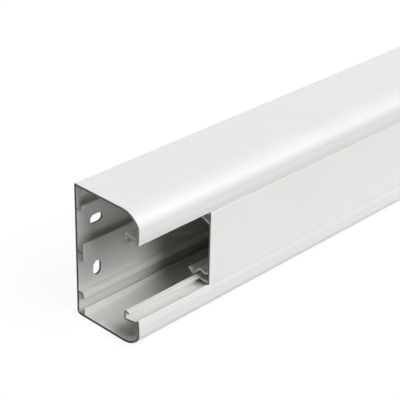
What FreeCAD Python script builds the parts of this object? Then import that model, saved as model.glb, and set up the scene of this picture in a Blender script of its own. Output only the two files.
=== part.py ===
import FreeCAD, Part
import math
import os

# Wall trunking in millimetres: an extruded channel and the flat cover that snaps into its open front.
# X runs along the trunking, +Y points at the wall and +Z up. The origin is at mid length, in the middle
# of the depth, on the underside. In a section, d is the distance from the wall and h the height.

# Overall size
length = 2000.0
height = 110.0
depth = 67.4
wall = 2.0

# Outer corners: the front ones sweep in from the top and turn the last part tighter
sweep_radius = 20.0
knuckle_radius = 8.0
corner_drop = 12.0
back_top_radius = 1.0
back_bottom_radius = 3.5

# Front lips: how far each comes in from the top or bottom, and its turned-in edge
lip_height = 24.3
lip_turn = 0.8
lip_turn_height = 5.5
lip_bend = 10.0
lip_edge = 0.5

# Hooked channel behind each lip: a floor that climbs to the lip, a riser and a hook that droops to its nose
hook_wall = 1.5
channel_drop = 4.4
channel_climb = 2.0
mouth_width = 8.5
hook_overhang = 4.6
hook_rise = 2.6
nose_droop = 0.8
hook_bend = 1.1
hook_edge = 0.4

# Rails on the back wall: a C rail in each corner and a T rail along the middle
rail_wall = 1.4
rail_stand_off = 8.0
corner_rail_height = 19.9
corner_rail_lip = 3.8
corner_rail_lean = 1.0
corner_rail_nub = 7.0
tee_head = 14.0
tee_stem = 2.4

# Punched slots: the upper row lies along the trunking, the lower row stands upright, and both rows lie a
# little below an even spacing about mid height
slot_width = 7.5
slot_length = 12.0
slot_row_spacing = 42.0
slot_row_shift = 0.9
slot_end_distance = 18.5
slot_columns = 9

# Cover: its plate and legs have one thickness, its two arms another. The lower arm waves high over its hook,
# the upper one runs nearly straight to its own
cover_setback = 71.0
cover_wall = 1.5
joint_gap = 0.1
cover_edge_radius = 0.4
leg_rise = 0.8
leg_end_gap = 0.6
arm_wall = 1.3
arm_bend = 2.5
waved_root_rise = 10.9
trough_reach = 4.2
trough_rise = 5.0
crest_rise = 7.5
straight_root_rise = 9.7
shoulder_reach = 0.6
shoulder_rise = 2.1
dip_behind_riser = 1.05
dip_rise = 0.1
dip_bend = 1.5
toe_reach = 4.9
toe_rise = 3.7

shortest_edge = 1e-4

# Places that the two pieces share, for the lower half; the upper half mirrors them
channel_floor = lip_height - channel_drop
hook_level = lip_height + hook_rise
nose = depth - wall - mouth_width
riser = nose - hook_overhang
rail_line = rail_stand_off - rail_wall / 2


def at_section(x):
    """Gives the function that puts a section point (d, h) at x along the trunking."""
    return lambda point: FreeCAD.Vector(x, depth / 2 - point.x, point.y)


def at_wall(d):
    """Gives the function that puts a point (x, h) of the back wall's outline at the distance d."""
    return lambda point: FreeCAD.Vector(point.x, depth / 2 - d, point.y)


def outline(corners, place):
    """Closed wire through corners (a, b, radius), each rounded by an arc tangent to both its sides."""
    points = [FreeCAD.Vector(a, b, 0) for a, b, _ in corners]
    turns = []
    for i, point in enumerate(points):
        to_last = (points[i - 1] - point).normalize()
        to_next = (points[(i + 1) % len(points)] - point).normalize()
        radius = corners[i][2]
        half_turn = (math.pi - to_last.getAngle(to_next)) / 2
        reach = radius * math.tan(half_turn)
        inward = (to_last + to_next).normalize() * radius * (1 / math.cos(half_turn) - 1)
        turns.append((radius, point + to_last * reach, point + inward, point + to_next * reach))
    edges = []
    for i, (radius, start, middle, end) in enumerate(turns):
        if radius > 0:
            edges.append(Part.Arc(place(start), place(middle), place(end)).toShape())
        following = turns[(i + 1) % len(turns)][1]
        if (following - end).Length > shortest_edge:
            edges.append(Part.LineSegment(place(end), place(following)).toShape())
    return Part.Wire(edges)


def moved_aside(path, offset):
    """The corners of a path moved to its left by offset, with the radii that keep its arcs parallel."""
    points = [FreeCAD.Vector(d, h, 0) for d, h, _ in path]
    headings = [(b - a).normalize() for a, b in zip(points, points[1:])]
    moved = []
    for i, point in enumerate(points):
        heading_in = headings[max(i - 1, 0)]
        heading_out = headings[min(i, len(headings) - 1)]
        left_in = FreeCAD.Vector(-heading_in.y, heading_in.x, 0)
        left_out = FreeCAD.Vector(-heading_out.y, heading_out.x, 0)
        mitre = (left_in + left_out) * (offset / (1 + left_in.dot(left_out)))
        turn = heading_in.cross(heading_out).z
        radius = path[i][2]
        if abs(turn) > shortest_edge:
            radius = max(radius - math.copysign(offset, offset * turn), 0)
        moved.append((point.x + mitre.x, point.y + mitre.y, radius))
    return moved


def ribbon(path, left, right):
    """Corners of a wall that follows a path, with its faces left and right of the path by those distances."""
    return moved_aside(path, left) + moved_aside(path, -right)[::-1]


def upside_down(path):
    """The same path in the other half of the section."""
    return [(d, height - h, radius) for d, h, radius in path]


def bar(corners, start, end):
    """A section's outline drawn out along the trunking from start to end."""
    face = Part.Face(outline(corners, at_section(start)))
    return face.extrude(FreeCAD.Vector(end - start, 0, 0))


def front_corner():
    """Outer face of the lower front lip and corner, from the lip's edge to the flat underside."""
    sweep_turn = math.acos((sweep_radius - corner_drop) / (sweep_radius - knuckle_radius))
    knuckle_turn = math.pi / 2 - sweep_turn
    sweep_start = sweep_radius * math.sin(sweep_turn) + knuckle_radius * (1 - math.sin(sweep_turn))
    return [
        (depth - lip_turn, lip_height, lip_edge),
        (depth, lip_height - lip_turn_height, lip_bend),
        (depth, corner_drop - knuckle_radius * math.tan(knuckle_turn / 2), knuckle_radius),
        (depth - sweep_start + sweep_radius * math.tan(sweep_turn / 2), 0, sweep_radius),
    ]


def shell():
    """The channel's outer wall, from one lip's edge over the top, down the back and out to the other lip."""
    lower = front_corner()
    path = upside_down(lower) + [(0, height, back_top_radius), (0, 0, back_bottom_radius)] + lower[::-1]
    return ribbon(path, wall, 0)


def hooked_channel():
    """Floor, riser and drooping hook of the channel that holds one edge of the cover."""
    return [
        (depth - lip_turn / 2 - wall / 2, channel_floor + channel_climb, 0),
        (riser, channel_floor, hook_bend),
        (riser, hook_level, hook_bend),
        (nose, hook_level - nose_droop, hook_edge),
    ]


def corner_rail():
    """The hooked half of a C rail, which stands on the back wall and turns towards the corner."""
    return [
        (wall / 2, corner_rail_height, 0),
        (rail_line - corner_rail_lean, corner_rail_height, hook_bend),
        (rail_line, corner_rail_height - corner_rail_lip, hook_edge),
    ]


def corner_nub():
    """The other half of a C rail, which stands on the channel's floor."""
    return [(rail_line, wall / 2, 0), (rail_line, corner_rail_nub, hook_edge)]


def tee_rail():
    """The T rail's head and stem."""
    middle = height / 2
    head = [(rail_line, middle - tee_head / 2, hook_edge), (rail_line, middle + tee_head / 2, hook_edge)]
    stem = [(wall / 2, middle, 0), (rail_line, middle, 0)]
    return ribbon(head, rail_wall / 2, rail_wall / 2), ribbon(stem, tee_stem / 2, tee_stem / 2)


def slot(x, h, along, upright):
    """Cutter for one round-ended slot, which stands out of both faces of the back wall by its thickness."""
    radius = slot_width / 2
    corners = [
        (x - along / 2, h - upright / 2, radius),
        (x + along / 2, h - upright / 2, radius),
        (x + along / 2, h + upright / 2, radius),
        (x - along / 2, h + upright / 2, radius),
    ]
    face = Part.Face(outline(corners, at_wall(-wall)))
    return face.extrude(FreeCAD.Vector(0, -3 * wall, 0))


def slots():
    """Both rows of slots, evenly spaced from one end to the other."""
    first = slot_end_distance - length / 2
    pitch = (length - 2 * slot_end_distance) / (slot_columns - 1)
    places = [first + column * pitch for column in range(slot_columns)]
    middle = height / 2 - slot_row_shift
    upper = middle + slot_row_spacing / 2
    lower = middle - slot_row_spacing / 2
    lying = [slot(x, upper, slot_length, slot_width) for x in places]
    upright = [slot(x, lower, slot_width, slot_length) for x in places]
    return lying + upright


def trunking_base():
    """The extruded channel with its hooks and rails, punched with the slots."""
    channel_path = hooked_channel()
    rail_path = corner_rail()
    nub_path = corner_nub()
    pieces = list(tee_rail())
    for path, thickness in ((channel_path, hook_wall), (rail_path, rail_wall), (nub_path, rail_wall)):
        pieces.append(ribbon(path, thickness / 2, thickness / 2))
        pieces.append(ribbon(upside_down(path), thickness / 2, thickness / 2))
    ends = (-length / 2, length / 2)
    body = bar(shell(), *ends).fuse([bar(piece, *ends) for piece in pieces]).removeSplitter()
    return body.cut(slots())


def plate():
    """The flat front plate between the two lips, with rounded front edges."""
    back = depth - cover_wall
    edge = lip_height + joint_gap
    return [
        (depth, edge, cover_edge_radius),
        (depth, height - edge, cover_edge_radius),
        (back, height - edge, 0),
        (back, edge, 0),
    ]


def leg():
    """Leg that stands back from the plate, just above its edge, and stops at the channel's nose."""
    level = lip_height + joint_gap + leg_rise + cover_wall / 2
    return [(depth - cover_wall / 2, level, 0), (nose + leg_end_gap, level, hook_edge)]


def grip():
    """Back end of an arm: the dip behind the riser that holds on to the hook, and the turned-up toe."""
    dip = riser - hook_wall / 2 - dip_behind_riser
    dip_level = hook_level + dip_rise
    return [(dip, dip_level, dip_bend), (dip - toe_reach, dip_level + toe_rise, hook_edge)]


def waved_arm():
    """Lower arm: it sags behind the plate, crests over the nose and comes down behind the riser."""
    return [
        (depth - cover_wall / 2, lip_height + waved_root_rise, 0),
        (depth - trough_reach, hook_level + trough_rise, arm_bend),
        (nose, hook_level + crest_rise, arm_bend),
    ] + grip()


def straight_arm():
    """Upper arm, drawn as it would lie below: straight to a shoulder on the hook, and down behind the riser."""
    return [
        (depth - cover_wall / 2, lip_height + straight_root_rise, 0),
        (riser + shoulder_reach, hook_level + shoulder_rise, arm_bend),
    ] + grip()


def snap_cover():
    """The flat cover, cut back from the near end, with a leg and an arm along each edge."""
    ends = (cover_setback - length / 2, length / 2)
    arms = [ribbon(path, arm_wall / 2, arm_wall / 2) for path in (waved_arm(), upside_down(straight_arm()))]
    legs = [ribbon(path, cover_wall / 2, cover_wall / 2) for path in (leg(), upside_down(leg()))]
    return bar(plate(), *ends).fuse([bar(piece, *ends) for piece in arms + legs]).removeSplitter()


def save(shape, name):
    """Writes one piece, which has to be a single sound solid."""
    solid = shape.Solids[0]
    print(name, "solids", len(shape.Solids), "valid", solid.isValid(), "volume", round(solid.Volume))
    solid.exportStep("parts/" + name + ".step")


os.makedirs("parts", exist_ok=True)
save(trunking_base(), "trunking_base")
save(snap_cover(), "snap_cover")
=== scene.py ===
import math

import bpy
from mathutils import Matrix, Vector


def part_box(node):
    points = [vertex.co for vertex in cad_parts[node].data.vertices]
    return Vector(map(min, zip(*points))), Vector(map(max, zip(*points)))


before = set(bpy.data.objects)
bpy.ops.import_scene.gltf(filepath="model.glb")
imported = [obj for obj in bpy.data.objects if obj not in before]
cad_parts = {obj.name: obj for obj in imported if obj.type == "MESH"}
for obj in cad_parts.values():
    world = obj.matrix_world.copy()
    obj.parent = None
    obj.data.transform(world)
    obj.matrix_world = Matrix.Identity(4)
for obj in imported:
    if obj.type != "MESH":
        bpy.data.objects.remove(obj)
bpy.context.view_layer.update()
print("stage: frame loaded, nodes", sorted(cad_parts))

millimetre = 0.001
planeTolerance = 0.03 * millimetre     # a point this near to an end plane lies on it
wavePeriod = math.pi / 10              # from ring to ring of a wave texture whose scale is 1


# An sRGB hex value as the linear colour that a shader socket takes, by the curve of the sRGB standard
def linearColour(hexValue):
    parts = [int(hexValue[i:i + 2], 16) / 255 for i in (1, 3, 5)]
    return [p / 12.92 if p <= 0.04045 else ((p + 0.055) / 1.055) ** 2.4 for p in parts] + [1.0]


# Adds one node: its settings by name, its socket values and the sockets that feed it
def addNode(tree, kind, values=None, links=None, **settings):
    node = tree.nodes.new(kind)
    for name, value in settings.items():
        setattr(node, name, value)
    for socket, value in (values or {}).items():
        node.inputs[socket].default_value = value
    for socket, source in (links or {}).items():
        tree.links.new(source, node.inputs[socket])
    return node


# A material whose nodes are still to be added
def emptyMaterial(name):
    material = bpy.data.materials.new(name)
    material.use_nodes = True
    material.node_tree.nodes.clear()
    return material, material.node_tree


# Rigid white PVC, extruded through a polished die and cooled in a sizing tool: a satin skin with faint
# lines along the bar and a slow waver of the gloss. The base's ends are cut by a circular saw, which
# leaves them matt and scored in arcs, with parts of the cut painted darker as painted shade. Its slots are
# punched, which shears their walls rough, and the walls are painted dark as painted shade.
basePvcLook = {
    "skinColour": "#ebe8e3",       # clean white with a trace of warmth, which grows where it lights itself
    "skinShade": "#e5e2dd",        # the same a little duller, in slow clouds
    "roughness": (0.28, 0.34),     # satin: where the skin has its shade, and where it has its full colour
    "ior": 1.53,                   # rigid PVC
    "cloudMm": 60.0,               # about from one cloud to the next
    "cloudOctaves": 2.0,
    "cloudRange": (0.3, 0.7),      # nearly all of the clouds' noise lies in here
    "dieLineMm": 2.2,              # real lines are about 0.3 mm apart, drawn coarser so that they just show
    "dieLineRunMm": 900.0,         # how far one line runs along the bar
    "dieLineDepthMm": 0.12,        # real ones are a few thousandths, drawn deeper for the same reason
    "dieLineOctaves": 3.0,
    "dieLineGrit": 0.6,            # how strong the finer lines are beside the broad ones
    "cutColour": "#c0bdb8",        # the sawn face, a grey darker than the skin
    "cutShade": "#a6a39e",         # the same in the scores
    "cutRoughness": 0.7,
    "sawPitchMm": 1.1,             # feed of the saw for each tooth, drawn coarser so that it shows
    "sawDepthMm": 0.03,
    "sawCentreMm": 150.0,          # the blade's centre, this far below the underside and behind mid depth
    "sawWander": 2.0,              # how far the scores stray from true arcs
    "sawWanderOctaves": 2.0,
    "sawWanderScale": 0.4,
    "paintedCutShade": "#3a3836",        # painted shade: the darkest part of the cut has its colour multiplied by this
    # Each zone of painted shade starts at one face of the piece's box, the low or high one along an axis:
    # darkest down to the first depth in mm, clear past the second, and last how much of the shade it gets.
    # The zones paint the cut darker at the underside, towards the bottom, at the back wall and at the top.
    "paintedShadeZones": [
        ("Z", "low", 1.5, 9.0, 1.0),
        ("Z", "low", 30.0, 95.0, 0.5),
        ("Y", "high", 2.0, 2.4, 0.88),
        ("Z", "high", 1.5, 6.0, 0.55),
    ],
    "paintedSlotShade": "#5f5e5a",      # painted shade on the slot walls
    "punchInsetMm": 0.05,          # from each face of the back wall to where the sheared part starts
    "backWallMm": 2.0,
    "slotZoneMm": 35.0,            # the slots lie within this distance of mid height
    "topEdgeMm": 0.0,                # no painted-dark top edge
}

# The cover is extruded apart from the base and its skin is a trace whiter. It has no slots and is cut by a
# fresh guillotine: its arms' ends are nearly as clean as its skin, and the front plate's end is painted
# darker, as painted shade. Its upper edge is matt and painted a trace darker, painted shade that keeps it
# from catching the light.
coverPvcLook = dict(basePvcLook)
coverPvcLook.update({
    "skinColour": "#f0ede8",
    "skinShade": "#eae7e2",
    "cutColour": "#efeeea",
    "cutShade": "#dddcd8",         # faint marks of the blade
    "cutRoughness": 0.55,
    # painted shade on the front plate's end
    "paintedCutShade": "#8e8c88",
    "paintedShadeZones": [("Y", "low", 1.5, 1.7, 1.0)],
    "slotZoneMm": 0.0,             # no slots
    "topEdgeMm": 0.4,                # how far down from the piece's top the matt, painted-dark edge reaches
    # painted shade on that edge, which keeps it from catching the light
    "paintedEdgeShade": "#dcd9d3",
})


# 1 on the two cut ends, 0 on the drawn skin
def cutMask(tree, box, axes):
    ends = []
    for corner in box:
        ends.append(addNode(tree, "ShaderNodeMath", operation="COMPARE", links={0: axes["X"]},
                            values={1: corner.x, 2: planeTolerance}).outputs[0])
    return addNode(tree, "ShaderNodeMath", operation="MAXIMUM",
                   links={0: ends[0], 1: ends[1]}).outputs[0]


# How much painted shade the cut gets: the most that any of its zones gives
def paintedShadeMask(tree, look, box, axes):
    zones = []
    for axis, side, darkestMm, clearMm, share in look["paintedShadeZones"]:
        corner, inward = (box[0], 1) if side == "low" else (box[1], -1)
        outer = corner["XYZ".index(axis)]
        zones.append(addNode(tree, "ShaderNodeMapRange", links={"Value": axes[axis]},
                             values={"From Min": outer + inward * clearMm * millimetre,
                                     "From Max": outer + inward * darkestMm * millimetre,
                                     "To Max": share}).outputs[0])
    shadeShare = zones[0]
    for zone in zones[1:]:
        shadeShare = addNode(tree, "ShaderNodeMath", operation="MAXIMUM", links={0: shadeShare, 1: zone}).outputs[0]
    return shadeShare


# 1 on the slots' walls, which lie between the two faces of the back wall
def punchMask(tree, look, box, axes):
    halfWall = look["backWallMm"] / 2
    within = addNode(tree, "ShaderNodeMath", operation="COMPARE", links={0: axes["Y"]},
                     values={1: box[1].y - halfWall * millimetre,
                             2: (halfWall - look["punchInsetMm"]) * millimetre}).outputs[0]
    beside = addNode(tree, "ShaderNodeMath", operation="COMPARE", links={0: axes["Z"]},
                     values={1: (box[0].z + box[1].z) / 2,
                             2: look["slotZoneMm"] * millimetre}).outputs[0]
    return addNode(tree, "ShaderNodeMath", operation="MULTIPLY", links={0: within, 1: beside}).outputs[0]


# 1 on a thin strip along the piece's top edge, which is matt and painted darker as painted shade
def topEdgeMask(tree, look, box, axes):
    return addNode(tree, "ShaderNodeMath", operation="GREATER_THAN", links={0: axes["Z"]},
                   values={1: box[1].z - look["topEdgeMm"] * millimetre}).outputs[0]


# Slow clouds, in which the skin wavers between its shade and its full colour
def cloudPattern(tree, look, place):
    return addNode(tree, "ShaderNodeTexNoise", links={"Vector": place},
                   values={"Scale": 1 / (look["cloudMm"] * millimetre),
                           "Detail": look["cloudOctaves"]}).outputs["Fac"]


# Lines of the die: noise squeezed across the bar and stretched along it
def dieLinePattern(tree, look, place):
    across = 1 / (look["dieLineMm"] * millimetre)
    along = 1 / (look["dieLineRunMm"] * millimetre)
    stretched = addNode(tree, "ShaderNodeMapping", links={"Vector": place},
                        values={"Scale": (along, across, across)}).outputs[0]
    return addNode(tree, "ShaderNodeTexNoise", links={"Vector": stretched},
                   values={"Scale": 1.0, "Detail": look["dieLineOctaves"],
                           "Roughness": look["dieLineGrit"]}).outputs["Fac"]


# Scores of the saw: rings about the blade's centre, the same all along the bar
def sawPattern(tree, look, place):
    reach = look["sawCentreMm"] * millimetre
    fromCentre = addNode(tree, "ShaderNodeMapping", links={"Vector": place},
                         values={"Location": (0.0, -reach, reach), "Scale": (0.0, 1.0, 1.0)}).outputs[0]
    return addNode(tree, "ShaderNodeTexWave", wave_type="RINGS", rings_direction="SPHERICAL",
                   links={"Vector": fromCentre},
                   values={"Scale": wavePeriod / (look["sawPitchMm"] * millimetre),
                           "Distortion": look["sawWander"], "Detail": look["sawWanderOctaves"],
                           "Detail Scale": look["sawWanderScale"]}).outputs["Fac"]


# The whole material. In a Mix node, sockets 6 and 7 are its two colours and output 2 the mixed one, and
# sockets 2 and 3 are its two numbers and output 0 the mixed one.
def extrudedPvc(name, look, box):
    material, tree = emptyMaterial(name)
    place = addNode(tree, "ShaderNodeTexCoord").outputs["Object"]
    axes = addNode(tree, "ShaderNodeSeparateXYZ", links={"Vector": place}).outputs
    clouds = cloudPattern(tree, look, place)
    dieLines = dieLinePattern(tree, look, place)
    sawRings = sawPattern(tree, look, place)
    cut = cutMask(tree, box, axes)
    punched = punchMask(tree, look, box, axes)
    matt = addNode(tree, "ShaderNodeMath", operation="MAXIMUM", links={0: cut, 1: punched}).outputs[0]

    # Colour: skin with clouds and a painted-dark top edge, painted shade on the slots' walls, and the cut
    # with its scores and its painted shade
    skin = addNode(tree, "ShaderNodeMix", data_type="RGBA", links={0: clouds},
                   values={6: linearColour(look["skinShade"]),
                           7: linearColour(look["skinColour"])}).outputs[2]
    if look["topEdgeMm"] > 0:
        topStrip = topEdgeMask(tree, look, box, axes)
        skin = addNode(tree, "ShaderNodeMix", data_type="RGBA", links={0: topStrip, 6: skin},
                       values={7: linearColour(look["paintedEdgeShade"])}).outputs[2]
        matt = addNode(tree, "ShaderNodeMath", operation="MAXIMUM", links={0: matt, 1: topStrip}).outputs[0]
    slotsShaded = addNode(tree, "ShaderNodeMix", data_type="RGBA", links={0: punched, 6: skin},
                      values={7: linearColour(look["paintedSlotShade"])}).outputs[2]
    scored = addNode(tree, "ShaderNodeMix", data_type="RGBA", links={0: sawRings},
                     values={6: linearColour(look["cutShade"]),
                             7: linearColour(look["cutColour"])}).outputs[2]
    shadePainted = addNode(tree, "ShaderNodeMix", data_type="RGBA", blend_type="MULTIPLY",
                     links={0: paintedShadeMask(tree, look, box, axes), 6: scored},
                     values={7: linearColour(look["paintedCutShade"])}).outputs[2]
    colour = addNode(tree, "ShaderNodeMix", data_type="RGBA",
                     links={0: cut, 6: slotsShaded, 7: shadePainted}).outputs[2]

    # Roughness: satin on the skin, wavering with its clouds, and matt on the rest
    atShade, atColour = look["roughness"]
    low, high = look["cloudRange"]
    satin = addNode(tree, "ShaderNodeMapRange", links={"Value": clouds},
                    values={"From Min": low, "From Max": high,
                            "To Min": atShade, "To Max": atColour}).outputs[0]
    roughness = addNode(tree, "ShaderNodeMix", data_type="FLOAT", links={0: matt, 2: satin},
                        values={3: look["cutRoughness"]}).outputs[0]

    # Bump: the height of the lines on the skin, of the scores on the cut
    height = addNode(tree, "ShaderNodeMix", data_type="FLOAT",
                     links={0: cut, 2: dieLines, 3: sawRings}).outputs[0]
    depth = addNode(tree, "ShaderNodeMapRange", links={"Value": cut},
                    values={"To Min": look["dieLineDepthMm"] * millimetre,
                            "To Max": look["sawDepthMm"] * millimetre}).outputs[0]
    bump = addNode(tree, "ShaderNodeBump", links={"Height": height, "Distance": depth}).outputs[0]

    shader = addNode(tree, "ShaderNodeBsdfPrincipled", values={"IOR": look["ior"]},
                     links={"Base Color": colour, "Roughness": roughness, "Normal": bump}).outputs[0]
    addNode(tree, "ShaderNodeOutputMaterial", links={"Surface": shader})
    return material


# Each piece's material, named for how its surfaces were made, and its look
finishSet = {
    "trunking_base": ("extrudedPvcSawn", basePvcLook),
    "snap_cover": ("extrudedPvcSheared", coverPvcLook),
}

for nodeName, (materialName, pvcLook) in finishSet.items():
    finish = extrudedPvc(materialName, pvcLook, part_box(nodeName))
    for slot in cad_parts[nodeName].material_slots:
        slot.link = "OBJECT"
        slot.material = finish
print("stage: materials set")

# The camera stands about a metre from the near end, with a long lens. Its place is in metres.
cameraSet = {
    "place": (-1.5482, -0.61807, 0.55738),
    "right": (0.701108, -0.712765, 0.02033),
    "up": (0.327197, 0.346916, 0.878972),
    "lensMm": 121.561,
    "sensorMm": 36.0,
}


def makeCamera(look):
    data = bpy.data.cameras.new("camera")
    data.lens = look["lensMm"]
    data.sensor_width = look["sensorMm"]
    camera = bpy.data.objects.new("camera", data)
    bpy.context.scene.collection.objects.link(camera)
    right, up = Vector(look["right"]).normalized(), Vector(look["up"]).normalized()
    turn = Matrix((right, up, right.cross(up))).transposed()
    camera.matrix_world = Matrix.Translation(look["place"]) @ turn.to_4x4()
    bpy.context.scene.camera = camera


makeCamera(cameraSet)

# Big softboxes, so far off that their light is parallel. side: degrees from the front, positive towards
# the near end. rise: degrees above the floor. spread: how wide they look from the trunking, in degrees.
lampSet = {
    "keySoftbox": {"side": -30.0, "rise": 50.0, "spread": 25.0, "strength": 1.4},
    "frontSoftbox": {"side": 0.0, "rise": 36.0, "spread": 25.0, "strength": 1.4},
    "topSoftbox": {"side": 0.0, "rise": 70.0, "spread": 40.0, "strength": 0.64},
    "backSoftbox": {"side": 180.0, "rise": 20.0, "spread": 25.0, "strength": 1.25},
    "farEndSoftbox": {"side": -90.0, "rise": 8.0, "spread": 25.0, "strength": 0.9},
}
lampColour = (0.971, 1.0, 1.037)     # a cool daylight, against the slightly warm plastic


def makeLamp(name, look):
    data = bpy.data.lights.new(name, "SUN")
    data.angle = math.radians(look["spread"])
    data.color = lampColour
    data.energy = look["strength"]
    lamp = bpy.data.objects.new(name, data)
    bpy.context.scene.collection.objects.link(lamp)
    side, rise = math.radians(look["side"]), math.radians(look["rise"])
    towards = Vector((-math.sin(side) * math.cos(rise), -math.cos(side) * math.cos(rise), math.sin(rise)))
    lamp.rotation_euler = towards.to_track_quat("Z", "Y").to_euler()


for lampName, lampLook in lampSet.items():
    makeLamp(lampName, lampLook)

# The room: a floor of pale matt paper, which the camera, gloss and glass see as nearly white with the
# object's shadow on it, and a surround that they see as white and that is a low fill for the rest
stageSet = {
    "floorHalf": 8.0,             # metres from the middle to each side
    "floorColour": "#b4b4b4",     # the paper, as it throws light back at the object
    "seenGlow": 0.9,              # what is seen of the floor apart from its light and shadow
    "seenColour": "#606060",      # how much of its light and shadow is seen
    "surroundColour": "#ffffff",
    "seenSurround": 1.0,
    "fill": 0.02,
}


# 1 for the rays that show the background: camera, glossy and transmission
def seenRays(tree):
    rays = addNode(tree, "ShaderNodeLightPath").outputs
    both = addNode(tree, "ShaderNodeMath", operation="MAXIMUM",
                   links={0: rays["Is Camera Ray"], 1: rays["Is Glossy Ray"]}).outputs[0]
    return addNode(tree, "ShaderNodeMath", operation="MAXIMUM",
                   links={0: both, 1: rays["Is Transmission Ray"]}).outputs[0]


def makeFloor(look):
    half = look["floorHalf"]
    corners = [(-half, -half, 0.0), (half, -half, 0.0), (half, half, 0.0), (-half, half, 0.0)]
    mesh = bpy.data.meshes.new("floor")
    mesh.from_pydata(corners, [], [(0, 1, 2, 3)])
    floor = bpy.data.objects.new("floor", mesh)
    bpy.context.scene.collection.objects.link(floor)
    material, tree = emptyMaterial("mattPaper")
    plain = addNode(tree, "ShaderNodeBsdfDiffuse",
                    values={"Color": linearColour(look["floorColour"])}).outputs[0]
    glow = addNode(tree, "ShaderNodeEmission", values={"Strength": look["seenGlow"]}).outputs[0]
    shaded = addNode(tree, "ShaderNodeBsdfDiffuse",
                     values={"Color": linearColour(look["seenColour"])}).outputs[0]
    seen = addNode(tree, "ShaderNodeAddShader", links={0: glow, 1: shaded}).outputs[0]
    surface = addNode(tree, "ShaderNodeMixShader",
                      links={0: seenRays(tree), 1: plain, 2: seen}).outputs[0]
    addNode(tree, "ShaderNodeOutputMaterial", links={"Surface": surface})
    mesh.materials.append(material)


def makeWorld(look):
    world = bpy.data.worlds.new("surround")
    bpy.context.scene.world = world
    world.use_nodes = True
    tree = world.node_tree
    tree.nodes.clear()
    strength = addNode(tree, "ShaderNodeMapRange", links={"Value": seenRays(tree)},
                       values={"To Min": look["fill"], "To Max": look["seenSurround"]}).outputs[0]
    light = addNode(tree, "ShaderNodeBackground", links={"Strength": strength},
                    values={"Color": linearColour(look["surroundColour"])}).outputs[0]
    addNode(tree, "ShaderNodeOutputWorld", links={"Surface": light})


makeFloor(stageSet)
makeWorld(stageSet)
bpy.context.scene.view_settings.view_transform = "Standard"
print("stage: camera, lamps and floor set")
